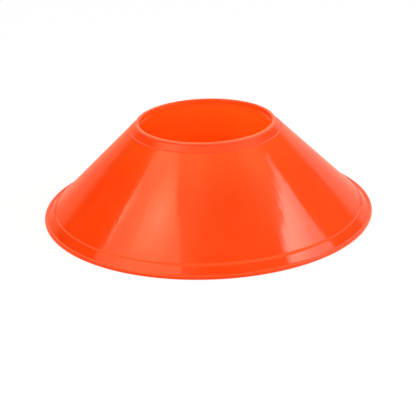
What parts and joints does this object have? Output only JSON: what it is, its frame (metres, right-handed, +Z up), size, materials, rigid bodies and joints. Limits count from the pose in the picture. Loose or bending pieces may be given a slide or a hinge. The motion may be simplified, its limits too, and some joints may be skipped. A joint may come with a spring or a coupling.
{
  "type": "sports marker cone",
  "caption": "Low, wide plastic marker cone with a rounded lip round its open top, a raised hem above a rounded rim, and an open underside for stacking.",
  "frame": {"origin": "centre of the rim, in the plane that the cone stands on", "axes": "+Z up along the cone's axis, towards the opening; +X and +Y are any two square directions, since the cone is round"},
  "size_m": [0.19, 0.19, 0.055],
  "materials": {
    "orange_plastic": "gloss"
  },
  "bodies": {
    "root": {"cone_shell": "orange_plastic"}
  },
  "joints": []
}
